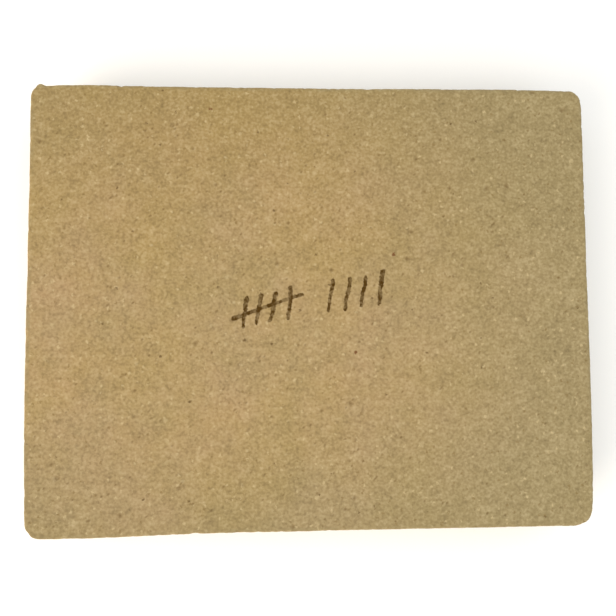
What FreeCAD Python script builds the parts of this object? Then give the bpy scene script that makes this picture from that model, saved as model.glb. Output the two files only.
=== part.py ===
import FreeCAD, Part
import os

# A refractory firebrick: one flat fireclay plate, pressed in a steel die and fired, that lines
# the firebox of a stove. It lies on its bed face. The origin is the middle of that face, +Z is up,
# +X runs along the length and +Y runs across the width. Sizes are in millimetres.

# Overall size of the plate, corner to corner
length = 250.0
width = 198.5
thickness = 30.0

# Firing leaves no side quite straight. A crown is how far the middle of a side stands out beyond
# its two corners, and a hollow is how far it falls back between them.
end_crown = 0.5
front_hollow = 0.6
back_hollow = 0.2

# Upright corners, seen from above. Three keep the round of the die, and the front right one is
# worn rounder from handling.
die_corner_radius = 5.6
worn_corner_radius = 7.2

# Eased arrises, where the sides turn into the face that shows and into the bed face
face_arris_radius = 1.6
bed_arris_radius = 1.2


def bowed_side(start, end, outward, rise):
    """One side of the outline: a shallow arc between two sharp corners. Its middle lies rise beyond them."""
    middle = (start + end) * 0.5 + outward * rise
    return Part.Arc(start, middle, end).toShape()


def round_corner(side, next_side, corner, radius):
    """The arc that rounds the corner where two sides meet, and both sides cut back to where it begins."""
    rounding = Part.ChFi2d.FilletAlgo(side, next_side, Part.Plane())
    rounding.perform(radius)
    return rounding.result(corner)


def outline():
    """The closed outline of the plate, seen from above: four bowed sides and four round corners."""
    half_length, half_width = length / 2, width / 2
    front_left = FreeCAD.Vector(-half_length, -half_width, 0)
    front_right = FreeCAD.Vector(half_length, -half_width, 0)
    back_right = FreeCAD.Vector(half_length, half_width, 0)
    back_left = FreeCAD.Vector(-half_length, half_width, 0)
    along_x = FreeCAD.Vector(1, 0, 0)
    along_y = FreeCAD.Vector(0, 1, 0)

    front = bowed_side(front_left, front_right, -along_y, -front_hollow)
    right = bowed_side(front_right, back_right, along_x, end_crown)
    back = bowed_side(back_right, back_left, along_y, -back_hollow)
    left = bowed_side(back_left, front_left, -along_x, end_crown)

    round_1, front, right = round_corner(front, right, front_right, worn_corner_radius)
    round_2, right, back = round_corner(right, back, back_right, die_corner_radius)
    round_3, back, left = round_corner(back, left, back_left, die_corner_radius)
    round_4, left, front = round_corner(left, front, front_left, die_corner_radius)
    return Part.Wire([front, round_1, right, round_2, back, round_3, left, round_4])


def pressed_blank():
    """The plate as it leaves the die: straight upright sides, round corners and sharp arrises."""
    return Part.Face(outline()).extrude(FreeCAD.Vector(0, 0, thickness))


def ease_arris(solid, height, radius):
    """Rounds the rim of the flat face that lies at this height."""
    flat_faces = [face for face in solid.Faces if isinstance(face.Surface, Part.Plane)]
    face = min(flat_faces, key=lambda flat: abs(flat.CenterOfMass.z - height))
    return solid.makeFillet(radius, face.Edges)


def firebrick():
    """The finished plate, with both rims eased, as a single solid."""
    eased = ease_arris(pressed_blank(), thickness, face_arris_radius)
    eased = ease_arris(eased, 0, bed_arris_radius)
    return eased.Solids[0]


brick = firebrick()
os.makedirs("parts", exist_ok=True)
brick.exportStep("parts/firebrick.step")

box = brick.optimalBoundingBox(False, False)
print("firebrick %.2f x %.2f x %.2f mm, %.1f cm3, valid %s" % (
    box.XLength, box.YLength, box.ZLength, brick.Volume / 1000, brick.isValid()))
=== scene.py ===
import math
import random

import bmesh
import bpy
from mathutils import Matrix, Vector, kdtree, noise


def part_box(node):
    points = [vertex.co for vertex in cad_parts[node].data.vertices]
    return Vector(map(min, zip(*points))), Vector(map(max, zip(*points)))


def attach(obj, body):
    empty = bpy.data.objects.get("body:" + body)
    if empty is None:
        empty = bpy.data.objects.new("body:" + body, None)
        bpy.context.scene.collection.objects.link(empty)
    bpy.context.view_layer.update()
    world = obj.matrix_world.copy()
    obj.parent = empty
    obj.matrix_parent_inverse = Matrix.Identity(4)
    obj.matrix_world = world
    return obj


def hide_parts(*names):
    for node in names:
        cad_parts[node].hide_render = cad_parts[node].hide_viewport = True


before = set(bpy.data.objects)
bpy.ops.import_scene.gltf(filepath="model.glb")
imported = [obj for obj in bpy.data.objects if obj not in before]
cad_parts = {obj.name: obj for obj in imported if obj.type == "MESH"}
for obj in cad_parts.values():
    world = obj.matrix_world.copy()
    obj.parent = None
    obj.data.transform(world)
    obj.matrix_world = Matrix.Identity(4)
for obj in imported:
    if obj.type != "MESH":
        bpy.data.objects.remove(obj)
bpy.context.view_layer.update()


# The pressed plate
# One slab of damp fireclay and crushed grog, rammed flat in a steel die. The die leaves it upright
# sides, round corners and eased arrises, in one piece with its two faces. Sizes are in millimetres.
MM = 0.001
true_low, true_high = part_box("firebrick")
length, width, thickness = (true_high - true_low) / MM

end_crown = 0.5      # how far the middle of an end stands out beyond its corners
front_hollow = 0.6   # how far the middle of the front side falls back behind them
back_hollow = 0.2
end_room = 0.42      # kept free inside the true length, for the ends to wander in
side_room = 0.30     # kept free inside the true width
grain_room = 0.12    # kept free above the face, for its grains to stand up in

die_radius = 5.6     # upright corners, seen from above
face_arris = 1.6     # eased arris round the face that shows
bed_arris = 1.2      # eased arris round the bed face

half_length = length / 2 - end_crown - end_room
half_width = width / 2 - side_room
face_height = thickness - grain_room

# How fine the mesh is: the square cells of the face that shows, and the steps of each bend and flat
face_cell = 1.0
corner_steps = 9
flat_steps = 5
face_arris_steps = 6
side_steps = 24
bed_arris_steps = 4
bed_flat_steps = 3


def arris_points(inward, height, radius, first_angle, last_angle, steps):
    """The section of an eased arris, round a centre at (inward, height).

    An angle of 0 points out of the side, and 90 straight up.
    """
    for step in range(steps + 1):
        angle = math.radians(first_angle + (last_angle - first_angle) * step / steps)
        yield inward - radius * math.cos(angle), height + radius * math.sin(angle)


def spaced(first, last, steps):
    """The values between first and last, without either, that cut the way into this many steps."""
    return [first + (last - first) * step / steps for step in range(1, steps)]


def border_section():
    """The plate's border in section, as (inward, height), from the face down to the bed."""
    points = [(die_radius, face_height)]
    points += [(inward, face_height) for inward in spaced(die_radius, face_arris, flat_steps)]
    points += arris_points(face_arris, face_height - face_arris, face_arris, 90, 0, face_arris_steps)
    points += [(0, height) for height in spaced(face_height - face_arris, bed_arris, side_steps)]
    points += arris_points(bed_arris, bed_arris, bed_arris, 0, -90, bed_arris_steps)
    points += [(inward, 0) for inward in spaced(bed_arris, die_radius, bed_flat_steps)]
    return points + [(die_radius, 0)]


inner_length = 2 * (half_length - die_radius)
inner_width = 2 * (half_width - die_radius)
cells_long = 2 * round(inner_length / face_cell / 2)
cells_wide = 2 * round(inner_width / face_cell / 2)

plate = bmesh.new()
pore_layer = plate.verts.layers.float.new("pore")
arris_layer = plate.verts.layers.float.new("arris")
side_layer = plate.verts.layers.float.new("side")
bake_map = plate.loops.layers.uv.new("OFBake")

corner = Vector((-inner_length / 2, -inner_width / 2, 0))
points = []
for inward, height in border_section():
    points.append(plate.verts.new((corner.x, corner.y - die_radius + inward, height)))
section = points + [plate.edges.new(pair) for pair in zip(points, points[1:])]

# The section is carried along each side in one step, and turned round the corner at its end
upright = (0, 0, 1)
heading = Vector((1, 0, 0))
quarter_turn = Matrix.Rotation(math.pi / 2, 3, "Z")
for run in (inner_length, inner_width) * 2:
    side = bmesh.ops.spin(plate, geom=section, cent=corner, axis=upright,
                          dvec=heading * run, angle=0, steps=1)
    corner += heading * run
    turn = bmesh.ops.spin(plate, geom=side["geom_last"], cent=corner, axis=upright,
                          angle=math.pi / 2, steps=corner_steps)
    section = turn["geom_last"]
    heading = quarter_turn @ heading

# Then the long edges of the sides, which are as long as their runs, are cut into cells
length_slack = 0.1
for run, cells in ((inner_length, cells_long), (inner_width, cells_wide)):
    rails = [edge for edge in plate.edges if abs(edge.calc_length() - run) < length_slack]
    bmesh.ops.subdivide_edges(plate, edges=rails, cuts=cells - 1)

# The two flats. The bed is half as fine, so its border is cut in two to meet the sides
seam_gap = 0.01
for coarser, height in ((1, face_height), (2, 0)):
    laid = Matrix.Translation((0, 0, height)) @ Matrix.Diagonal((inner_length, inner_width, 1, 1))
    flat = bmesh.ops.create_grid(plate, x_segments=cells_long // coarser, y_segments=cells_wide // coarser,
                                 size=0.5, matrix=laid)
    if coarser > 1:
        border = [edge for vert in flat["verts"] for edge in vert.link_edges if edge.is_boundary]
        border = list(dict.fromkeys(border))
        bmesh.ops.subdivide_edges(plate, edges=border, cuts=coarser - 1, use_single_edge=True)
bmesh.ops.remove_doubles(plate, verts=plate.verts, dist=seam_gap)
bmesh.ops.recalc_face_normals(plate, faces=plate.faces)
plate.normal_update()

# What each point of the plate is part of, noted while the plate is still straight
side_fade = 1.6      # how fast a point stops being part of a side as the arris turns away from it
arris_reach = 3.2    # how far from an arris the plate is still worn, and darkened with painted shade


def smooth(value, low, high):
    """0 up to low, 1 from high on, and an even rise between them."""
    share = min(max((value - low) / (high - low), 0), 1)
    return share * share * (3 - 2 * share)


def arris_nearness(place):
    """1 on an arris, falling to 0 at the reach of wear and of the painted shade."""
    from_end = half_length - abs(place.x)
    from_side = half_width - abs(place.y)
    inward = min(from_end, from_side)
    past_corner = Vector((die_radius - from_end, die_radius - from_side))
    if past_corner.x > 0 and past_corner.y > 0:
        inward = die_radius - past_corner.length
    upward = min(place.z, face_height - place.z)
    return 1 - smooth(math.hypot(max(inward, 0), max(upward, 0)), 0, arris_reach)


face_normals = {vert: vert.normal.copy() for vert in plate.verts}
is_side = {vert: max(0.0, 1 - abs(normal.z) * side_fade) for vert, normal in face_normals.items()}
nearness = {vert: arris_nearness(vert.co) for vert in plate.verts}


# Firing and handling
# In the kiln the sides wander a little off straight. Later the corners lose their crispness, each in
# its own way, and a crumb of clay stays on the back left one. A bulge is (middle, reach, how far out).
bulges = {
    "left": [(-45, 38, 0.30), (14, 6, -0.22), (58, 40, -0.50)],
    "right": [(-92, 6.5, -0.50), (-50, 34, 0.26), (25, 50, -0.16)],
    "back": [(52, 20, 0.32), (88, 17, 0.50), (-97, 12, 0.27), (-119, 7, -0.45)],
    "front": [(-96, 24, 0.45), (-43, 18, -0.20), (25, 24, 0.10), (74, 32, 0.12)],
}
side_power = 8       # keeps a side's bulges close to that side
corner_power = 6     # keeps a corner's wear close to that corner


def pushed_out(side, along):
    """How far one side bulges out (or in, below 0) at this place along it."""
    return sum(out * math.exp(-(((along - middle) / reach) ** 2)) for middle, reach, out in bulges[side])


def warped(place):
    """Where firing carries a point of the straight plate."""
    end_share, side_share = place.x / half_length, place.y / half_width
    crown = end_crown * (1 - side_share ** 2) + pushed_out("right" if place.x > 0 else "left", place.y)
    hollow = back_hollow if place.y > 0 else front_hollow
    swell = pushed_out("back" if place.y > 0 else "front", place.x) - hollow * (1 - end_share ** 2)
    return place + Vector((end_share ** side_power * crown * math.copysign(1, place.x),
                           side_share ** side_power * swell * math.copysign(1, place.y), 0))


# How far the worn corners are rounded along the length and the width, by the signs of their X and Y
wear = {(1, -1): (10.1, 8.5), (1, 1): (5.6, 8.2), (-1, -1): (6.4, 7.0)}


def worn_round(place):
    """A point near an upright corner, drawn in so that the corner gets its worn rounding."""
    corner = (math.copysign(1, place.x), math.copysign(1, place.y))
    if corner not in wear:
        return place
    reach = Vector(wear[corner])
    off = Vector((abs(place.x) - half_length, abs(place.y) - half_width)) + reach
    if min(off) <= 0:
        return place
    heading = off.normalized()
    die_centre = reach - Vector((die_radius, die_radius))
    outline = min(reach.x / heading.x, reach.y / heading.y)
    if min(heading * outline - die_centre) > 0:
        along = heading.dot(die_centre)
        outline = along + math.sqrt(along ** 2 - die_centre.length_squared + die_radius ** 2)
    worn_outline = 1 / math.hypot(heading.x / reach.x, heading.y / reach.y)
    drawn_in = (1 - worn_outline / outline) * (off.length / outline) ** corner_power
    return place - Vector((corner[0] * off.x, corner[1] * off.y, 0)) * drawn_in


# The back left corner is worn to a slanting flat instead, and the crumb stands beside it
slant_facing = Vector((-0.86, 0.51, 0)).normalized()
slant_depth = 2.7     # how far the flat lies behind the sharp corner
slant_share = 0.8     # how much of the clay past the flat is gone
slant_limit = Vector((-half_length, half_width, 0)).dot(slant_facing) - slant_depth

crumb_place = Vector((-half_length + 3.9, half_width, face_height - 1.5))
crumb_size = Vector((1.9, 6.0, 3.4))
crumb_rise = 1.2


def slanted(place):
    """A point that stands past the back left corner's flat, brought back towards it."""
    past = place.dot(slant_facing) - slant_limit
    return place - slant_facing * past * slant_share if past > 0 else place


def crumb(place):
    """How far the crumb of clay stands out of the back side at this point."""
    off = place - crumb_place
    return crumb_rise * math.exp(-sum((off[axis] / crumb_size[axis]) ** 2 for axis in range(3)))


for vert in plate.verts:
    place = slanted(warped(worn_round(vert.co)))
    place.y += crumb(vert.co)
    vert.co = place


# Grain, pores and chips
# Fired grog stands up as sand, water and loose grains leave pores, and knocks leave chips along the
# arrises. Depths are in millimetres, measured down into the plate.
seed = random.Random(11)
noise.seed_set(11)

# Unevenness in layers of (size, depth): slow waves, and sand that is rubbed down near the arrises
waves = ((34, 0.09), (9, 0.05))
sand = ((2.3, 0.05), (1.3, 0.03), (0.37, 0.08))
sand_strength = 1.6

# Marks that the die dragged up the sides, and nibbles out of the arrises, as (size, how common, depth)
drag_across, drag_upward, drag_depth = 1.6, 40, 0.05
nibbles = ((5.5, 0.15, 0.22), (2.1, 0, 0.16))

depth = {}
verts = list(plate.verts)
finder = kdtree.KDTree(len(verts))
for index, vert in enumerate(verts):
    finder.insert(vert.co, index)
finder.balance()


def uneven(place, layers):
    """How deep these layers of noise go at this place, or how high, below 0."""
    return sum(deep * noise.noise(place / size) for size, deep in layers)


for vert in verts:
    place = vert.co
    near = nearness[vert]
    dragged = Vector((place.x / drag_across, place.y / drag_across, place.z / drag_upward))
    drag = drag_depth * noise.noise(dragged)
    nibble = sum(deep * max(0, noise.noise(place / size) + common) for size, common, deep in nibbles)
    rough = uneven(place, waves) + uneven(place, sand) * (sand_strength - near)
    depth[vert] = rough + drag * is_side[vert] + nibble * near ** 2
    vert[arris_layer] = near
    vert[side_layer] = is_side[vert]

# Pores are noted for painted shade, darkest in their middle
pore_shade_note = 1.1      # how dark the middle of a pore is noted
bed_pore_shade_note = 0.65      # the same on the bed's coarser mesh, where a note spreads wider


def scoop(middle, reach, deepest, as_pore):
    """A rounded hollow in the surface. A pore is noted for painted shade inside, and a chip isn't."""
    darkest = pore_shade_note if middle.z > bed_arris else bed_pore_shade_note
    for _, index, distance in finder.find_range(middle, reach):
        share = (1 - (distance / reach) ** 2) ** 2
        depth[verts[index]] += deepest * share
        if as_pore:
            verts[index][pore_layer] = max(verts[index][pore_layer], min(1, share * darkest))


def surface_place(on_arris):
    """A random place on the plate's surface, or one on its arrises alone."""
    share = [seed.uniform(-1, 1) for _ in range(3)]
    if on_arris:
        share[2] = math.copysign(1, share[2])
        axis = seed.choices((0, 1), (width, length))[0]
    else:
        axis = seed.choices((0, 1, 2), (width * thickness, length * thickness, length * width))[0]
    share[axis] = math.copysign(1, share[axis])
    place = (share[0] * half_length, share[1] * half_width, (share[2] + 1) / 2 * face_height)
    return finder.find(place)[0]


# The pinholes that stand out most on the face, as (x, y, reach)
pinhole_depth = 0.6
pinholes = ((-3, 63, 1.2), (-5, 60, 1.0), (1, 29, 0.9), (-90, 1, 1.0), (-24, -24, 1.0), (19, -63, 1.1),
            (13, -89, 1.5), (76, -92, 1.2), (84, -93, 1.1))
for x, y, reach in pinholes:
    scoop(Vector((x, y, face_height)), reach, pinhole_depth, True)

# Small pores, larger pores and arris chips, as (how many, range of reach, range of depth, on an arris)
hollows = ((540, (0.9, 1.3), (0.12, 0.32), False),
           (80, (1.3, 2.0), (0.25, 0.6), False),
           (260, (0.9, 2.0), (0.1, 0.36), True))
for count, reaches, depths, on_arris in hollows:
    for _ in range(count):
        scoop(surface_place(on_arris), seed.uniform(*reaches), seed.uniform(*depths), not on_arris)

# The relief is pressed in along the straight plate's normals, and nothing passes the true box
lowest, highest = true_low / MM, true_high / MM
for vert in verts:
    place = vert.co - face_normals[vert] * depth[vert]
    vert.co = [min(max(place[axis], lowest[axis]), highest[axis]) for axis in range(3)]


# The map for baked colours
# Each face is laid flat by the way it looks: the face that shows and the four sides at full scale,
# and the bed at half scale. The map is a square, and places on it are (across, up) in millimetres.
map_side = 345
face_spot = (128, 102)
bed_spot = (66, 256)
back_spot, front_spot = (260, 128), (296, 128)
right_spot, left_spot = (232, 262), (232, 298)
flat_normal = 0.6    # a face whose normal leans further up or down than this is part of a flat


def map_place(face, place):
    """Where a point of the plate goes on the map."""
    normal = sum((face_normals[vert] for vert in face.verts), Vector()) / len(face.verts)
    if normal.z > flat_normal:
        return place.x + face_spot[0], place.y + face_spot[1]
    if normal.z < -flat_normal:
        return place.x / 2 + bed_spot[0], place.y / 2 + bed_spot[1]
    if abs(normal.y) > abs(normal.x):
        across, up = back_spot if normal.y > 0 else front_spot
        return place.z + across, place.x + up
    across, up = right_spot if normal.x > 0 else left_spot
    return place.y + across, place.z + up


for face in plate.faces:
    face.smooth = True
    for loop in face.loops:
        loop[bake_map].uv = Vector(map_place(face, loop.vert.co)) / map_side

bmesh.ops.scale(plate, vec=(MM, MM, MM), verts=plate.verts)
mesh = bpy.data.meshes.new("firebrick_plate")
plate.to_mesh(mesh)
plate.free()
brick = bpy.data.objects.new("firebrick_plate", mesh)
bpy.context.scene.collection.objects.link(brick)


# Fired fireclay
# Dry-pressed clay and crushed grog of all sizes, fired without a glaze. That gives a dead matt tan
# ground that drifts between pinkish and yellowish, mottled by grains and pitted by small pinholes. Over
# it lies painted light and shade: a pool of light left of the middle, duller olive shade away from it,
# and shade in the pores and along the arrises.
fireclay = bpy.data.materials.new("fired_fireclay")
fireclay.use_nodes = True
tree = fireclay.node_tree
shader = tree.nodes["Principled BSDF"]


def colour(hex_code):
    """An sRGB hex colour as linear red, green and blue, with full alpha."""
    channels = [int(hex_code[at:at + 2], 16) / 255 for at in (1, 3, 5)]
    return [c / 12.92 if c <= 0.04045 else ((c + 0.055) / 1.055) ** 2.4 for c in channels] + [1.0]


def add(tree, kind, links=None, **settings):
    """Adds a node with its settings. Each input gets another node's output, or a plain value."""
    node = tree.nodes.new("ShaderNode" + kind)
    for name, value in settings.items():
        setattr(node, name, value)
    for socket, value in (links or {}).items():
        if isinstance(value, bpy.types.NodeSocket):
            tree.links.new(value, node.inputs[socket])
        else:
            node.inputs[socket].default_value = value
    return node


def every(size):
    """The scale of a pattern that repeats at this many millimetres."""
    return 1 / (size * MM)


here = add(tree, "TexCoord").outputs["Object"]
along = add(tree, "SeparateXYZ", {0: here})


def pushed_aside(place, size, reach):
    """A place, shaken this way and that. The shake's size, and its reach by axis, are in millimetres."""
    reach = [part * MM for part in reach]
    shake = add(tree, "TexNoise", {"Vector": here, "Scale": every(size), "Detail": 1.0})
    shake = add(tree, "VectorMath", {0: shake.outputs["Color"], 1: (0.5, 0.5, 0.5)}, operation="SUBTRACT")
    moved = add(tree, "VectorMath", {0: shake.outputs[0], 1: reach, 2: place}, operation="MULTIPLY_ADD")
    return moved.outputs[0]


# The ground drifts a little in tint at random. Over that lies painted light: a pool of light, brightest
# and warmest left of the middle, and painted shade that makes the ground duller and olive the farther it
# lies from there and towards the front side, and darker and yellower along the back side
drift = add(tree, "TexNoise", {"Vector": here, "Scale": every(55), "Detail": 5.0, "Roughness": 0.68})
drift = add(tree, "SeparateColor", {0: drift.outputs["Color"]})
blush = add(tree, "MapRange", {"Value": drift.outputs[0], "From Min": 0.36, "From Max": 0.64})
ochre = add(tree, "MapRange", {"Value": drift.outputs[1], "From Min": 0.38, "From Max": 0.64,
                               "To Max": 0.45})
# Painted shade, darker and yellower towards the back side
painted_back_shade = add(tree, "MapRange", {"Value": along.outputs[1], "From Min": 5 * MM, "From Max": 100 * MM,
                                 "To Max": 0.60})
# Painted shade, duller and olive towards the front side
painted_front_shade = add(tree, "MapRange", {"Value": along.outputs[1], "From Min": -45 * MM, "From Max": -100 * MM,
                                  "To Max": 0.30})
# Painted light: a pool of it around this middle, with painted shade growing away from it, kept weaker on the
# sides
painted_light_middle = Vector((-66, 5, thickness)) * MM
away_from_painted_light = add(tree, "VectorMath", {0: here, 1: painted_light_middle}, operation="DISTANCE")
painted_falloff = add(tree, "MapRange", {"Value": away_from_painted_light.outputs["Value"], "From Min": 60 * MM, "From Max": 200 * MM,
                             "To Max": 0.85}, interpolation_type="SMOOTHSTEP")
on_side = add(tree, "Attribute", attribute_name="side")
painted_shade_kept = add(tree, "MapRange", {"Value": on_side.outputs["Fac"], "To Min": 1.0, "To Max": 0.6})
painted_dull_shade = add(tree, "Math", {0: painted_falloff.outputs[0], 1: painted_shade_kept.outputs[0]}, operation="MULTIPLY")

# Over the plain clay the colour is built up in layers, as (how much of it shows, its colour)
plain_clay = "#AE996E"
# The last three of these layers are painted shade
layers = [(blush, "#B3986E"), (ochre, "#B1995B"), (painted_back_shade, "#A18A54"), (painted_dull_shade, "#9E9068"),
          (painted_front_shade, "#9E9068")]

# Crushed grains are never round, so what has their size is drawn at a place pushed a little aside
ragged = pushed_aside(here, 0.9, (1.8, 1.8, 1.8))

# How light the clay is: soft changes as (size in mm, strength), then grains as (spacing in mm, strength)
changes = ((60, 0.08), (28, 0.07), (14, 0.07), (7, 0.14), (3.6, 0.19), (2.0, 0.265), (1.2, 0.415))
mosaics = ((3.2, 0.03), (1.7, 0.06), (0.85, 0.19))
to_darkest, to_lightest = 0.88, 1.4    # from the middle lightness to the darkest and lightest clay
lightness = 0.0
for size, strength in changes:
    cloud = add(tree, "TexNoise", {"Vector": here, "Scale": every(size), "Detail": 0.0}).outputs[0]
    lightness = add(tree, "Math", {0: cloud, 1: strength, 2: lightness}, operation="MULTIPLY_ADD").outputs[0]
for spacing, strength in mosaics:
    grain = add(tree, "TexVoronoi", {"Vector": ragged, "Scale": every(spacing)})
    grain = add(tree, "SeparateColor", {0: grain.outputs["Color"]}).outputs[0]
    lightness = add(tree, "Math", {0: grain, 1: strength, 2: lightness}, operation="MULTIPLY_ADD").outputs[0]
middle = sum(strength for _, strength in changes + mosaics) / 2
darker = add(tree, "MapRange", {"Value": lightness, "From Min": middle, "From Max": middle - to_darkest})
lighter = add(tree, "MapRange", {"Value": lightness, "From Min": middle, "From Max": middle + to_lightest})
layers += [(darker, "#3C2508"), (lighter, "#F4E6C0")]

# Grains that stand out: (spacing in mm, share of places that hold one, radius in mm, colour, amount)
grains = ((3.0, 0.36, 0.80, "#D3C297", 0.51),
          (6.5, 0.24, 1.2, "#CDBC92", 0.40),
          (2.9, 0.42, 0.75, "#7F6636", 0.46),
          (6.2, 0.26, 0.75, "#5E4522", 0.68),
          (17, 0.35, 1.0, "#744826", 0.85))
grain_core = 0.45    # how much of a grain's radius has its full colour
for spacing, held, radius, hex_code, amount in grains:
    cells = add(tree, "TexVoronoi", {"Vector": ragged, "Scale": every(spacing)})
    chance = add(tree, "SeparateColor", {0: cells.outputs["Color"]})
    rim = radius / spacing
    inside = add(tree, "MapRange", {"Value": cells.outputs["Distance"], "From Min": rim,
                                    "From Max": rim * grain_core, "To Min": 0.0, "To Max": amount},
                 interpolation_type="SMOOTHSTEP")
    picked = add(tree, "Math", {0: chance.outputs[0], 1: held}, operation="LESS_THAN")
    share = add(tree, "Math", {0: inside.outputs[0], 1: picked.outputs[0]}, operation="MULTIPLY")
    layers.append((share, hex_code))

# Painted shade: pores are darker the deeper they go, and the arrises are darker in patches
pore = add(tree, "Attribute", attribute_name="pore")
# Painted shade inside the pores
painted_pore_shade = add(tree, "MapRange", {"Value": pore.outputs["Fac"], "From Min": 0.25, "From Max": 1.0,
                                    "To Min": 0.0, "To Max": 0.60})
# Painted shade along the arrises, where their rounding turns from the light, broken into patches
painted_arris_patches = add(tree, "TexNoise", {"Vector": here, "Scale": every(7), "Detail": 4.0})
painted_arris_patches = add(tree, "MapRange", {"Value": painted_arris_patches.outputs[0], "From Min": 0.42, "From Max": 0.60,
                                "To Min": 0.12, "To Max": 0.65})
arris = add(tree, "Attribute", attribute_name="arris")
painted_arris_shade = add(tree, "MapRange", {"Value": arris.outputs["Fac"], "From Min": 0.10, "From Max": 0.80,
                                     "To Min": 0.0, "To Max": painted_arris_patches.outputs[0]})
layers += [(painted_pore_shade, "#6B5128"), (painted_arris_shade, "#94855F")]

# Somebody has tallied on the face in brown marker. Each stroke runs from a start to an end, in mm, and
# is thickest where the pen came down. The dry clay drinks the ink, so its edges are ragged
ink_brown = "#503600"
strokes = (((-29.6, 3.6), (-31.4, -9.0)), ((-23.3, 5.4), (-24.6, -7.9)), ((-17.0, 6.2), (-18.7, -6.2)),
           ((-10.4, 8.3), (-11.3, -5.2)), ((-35.2, -5.0), (-5.4, 5.2)),
           ((8.6, 10.9), (6.9, -2.3)), ((15.8, 12.4), (14.5, -1.2)), ((23.4, 13.1), (21.4, 0.2)),
           ((30.9, 15.6), (29.3, 1.5)))
stroke_rim = 1.17    # from a stroke's middle line to where its ink ends
stroke_core = 0.76   # and to where it starts to thin
stroke_taper = 0.22  # how much narrower each side is where the pen lifts
hand_shake = (12, 3.4)    # the hand's wander, as (size, reach)
bleed = (0.9, 1.2)        # the ink's ragged rim

drawn = here
for size, reach in (hand_shake, bleed):
    drawn = pushed_aside(drawn, size, (reach, reach, 0))
drawn = add(tree, "VectorMath", {0: drawn, 1: (1, 1, 0)}, operation="MULTIPLY").outputs[0]

face_foot = face_height * MM - face_arris * MM
on_face = add(tree, "Math", {0: along.outputs[2], 1: face_foot}, operation="GREATER_THAN")
soak = add(tree, "TexNoise", {"Vector": ragged, "Scale": every(1.8), "Detail": 2.0})
soak = add(tree, "MapRange", {"Value": soak.outputs[0], "From Min": 0.35, "From Max": 0.58,
                              "To Min": 0.52, "To Max": 1.0})
soak = add(tree, "Math", {0: soak.outputs[0], 1: on_face.outputs[0]}, operation="MULTIPLY")
for start, end in strokes:
    start = Vector((*start, 0)) * MM
    run = Vector((*end, 0)) * MM - start
    off = add(tree, "VectorMath", {0: drawn, 1: start}, operation="SUBTRACT").outputs[0]
    way = add(tree, "VectorMath", {0: off, 1: run / run.length_squared}, operation="DOT_PRODUCT")
    way = add(tree, "Math", {0: way.outputs["Value"], 1: 1.0}, operation="MULTIPLY", use_clamp=True)
    way = way.outputs[0]
    foot = add(tree, "VectorMath", {0: run, "Scale": way}, operation="SCALE").outputs[0]
    gap = add(tree, "VectorMath", {0: off, 1: foot}, operation="DISTANCE").outputs["Value"]
    gap = add(tree, "Math", {0: way, 1: stroke_taper * MM, 2: gap}, operation="MULTIPLY_ADD").outputs[0]
    ink = add(tree, "MapRange", {"Value": gap, "From Min": stroke_rim * MM, "From Max": stroke_core * MM,
                                 "To Min": 0.0, "To Max": soak.outputs[0]},
              interpolation_type="SMOOTHSTEP")
    layers.append((ink, ink_brown))

# Of a Mix node's sockets, 0, 6 and 7 take the share and the two colours, and output 2 gives their mix
tone = colour(plain_clay)
for share, hex_code in layers:
    mix = add(tree, "Mix", {0: share.outputs[0], 6: tone, 7: colour(hex_code)}, data_type="RGBA")
    tone = mix.outputs[2]
tree.links.new(tone, shader.inputs["Base Color"])

# Sand too fine for the mesh stands up by a few hundredths of a millimetre
fine_sand = add(tree, "TexNoise", {"Vector": ragged, "Scale": every(0.9), "Detail": 3.0, "Roughness": 0.7})
relief = add(tree, "Bump", {"Height": fine_sand.outputs[0], "Distance": 0.2 * MM, "Strength": 0.9})
tree.links.new(relief.outputs[0], shader.inputs["Normal"])

# Bare fired clay is dead matt, and scatters light alike to all sides
shader.inputs["Roughness"].default_value = 0.96
shader.inputs["Diffuse Roughness"].default_value = 1.0
shader.inputs["Specular IOR Level"].default_value = 0.25
brick.data.materials.append(fireclay)

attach(brick, "root")
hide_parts("firebrick")


# The studio
# A wide sheet of white laminate under two soft boxes in a pale room. The nearer box stands to the left
# and before the plate. Places and sizes are in metres.
floor_mesh = bpy.data.meshes.new("studio_floor")
sheet = bmesh.new()
bmesh.ops.create_grid(sheet, x_segments=8, y_segments=8, size=6.0)
sheet.to_mesh(floor_mesh)
sheet.free()
floor = bpy.data.objects.new("studio_floor", floor_mesh)
bpy.context.scene.collection.objects.link(floor)

white_laminate = bpy.data.materials.new("white_laminate")
white_laminate.use_nodes = True
laminate_shader = white_laminate.node_tree.nodes["Principled BSDF"]
laminate_shader.inputs["Base Color"].default_value = colour("#FAFAF8")
laminate_shader.inputs["Roughness"].default_value = 0.8
floor.data.materials.append(white_laminate)


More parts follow.
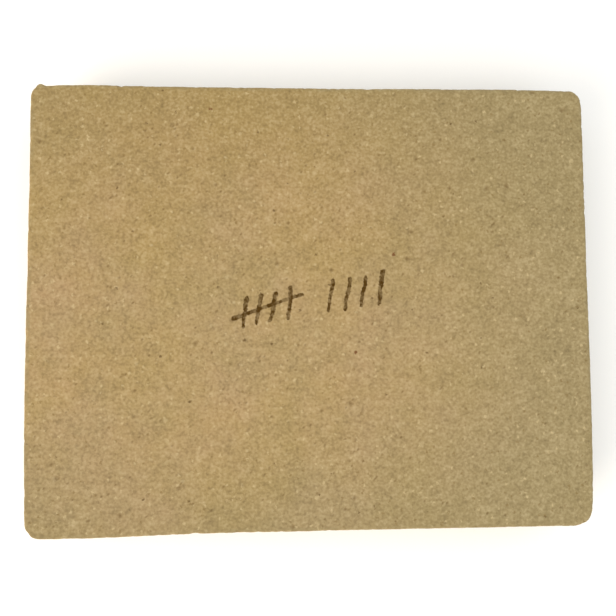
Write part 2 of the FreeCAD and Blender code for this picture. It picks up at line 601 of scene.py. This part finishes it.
def soft_box(name, place, size, power, hex_code):
    """A square soft light that stands at this place and faces the plate."""
    lamp = bpy.data.lights.new(name, "AREA")
    lamp.shape = "SQUARE"
    lamp.size = size
    lamp.energy = power
    lamp.color = colour(hex_code)[:3]
    light = bpy.data.objects.new(name, lamp)
    light.location = place
    light.rotation_euler = (-Vector(place)).to_track_quat("-Z", "Y").to_euler()
    bpy.context.scene.collection.objects.link(light)


soft_box("left_box", place=(-0.62, -0.42, 0.55), size=0.6, power=5.2, hex_code="#FFEBD4")
soft_box("right_box", place=(1.4, 0.6, 1.1), size=1.2, power=2, hex_code="#FAFCFF")

# The room is brighter overhead. Where the camera looks along the floor, it has the far floor's tone
world = bpy.data.worlds.new("pale_room")
world.use_nodes = True
room = world.node_tree
background = room.nodes["Background"]
upward = add(room, "SeparateXYZ", {0: add(room, "TexCoord").outputs["Generated"]}).outputs[2]
lighting = add(room, "MapRange", {"Value": upward, "From Min": 0.0, "From Max": 1.0,
                                  "To Min": 0.50, "To Max": 1.26})
backdrop = add(room, "MapRange", {"Value": upward, "From Min": 0.0, "From Max": 0.35,
                                  "To Min": 0.95, "To Max": 1.0})
# Of a Mix node's sockets, 2 and 3 take two plain values, and output 0 gives their mix
seen = add(room, "LightPath").outputs["Is Camera Ray"]
strength = add(room, "Mix", {0: seen, 2: lighting.outputs[0], 3: backdrop.outputs[0]})
background.inputs["Color"].default_value = colour("#FDFDFC")
room.links.new(strength.outputs[0], background.inputs["Strength"])
bpy.context.scene.world = world
bpy.context.scene.view_settings.view_transform = "Standard"


# The camera
# It looks almost straight down from about 26 cm over the face, a little left of the plate's middle and
# before it, and it is turned by a few degrees. The place is in millimetres and the turn in degrees.
camera_place = (-15.89, -13.44, 294.1)
camera_turn = (2.757, -2.855, -0.49)
lens = bpy.data.cameras.new("camera")
lens.lens = 35
lens.sensor_width = 36
lens.clip_start = 0.01
camera = bpy.data.objects.new("camera", lens)
camera.location = Vector(camera_place) * MM
camera.rotation_euler = [math.radians(angle) for angle in camera_turn]
bpy.context.scene.collection.objects.link(camera)
bpy.context.scene.camera = camera
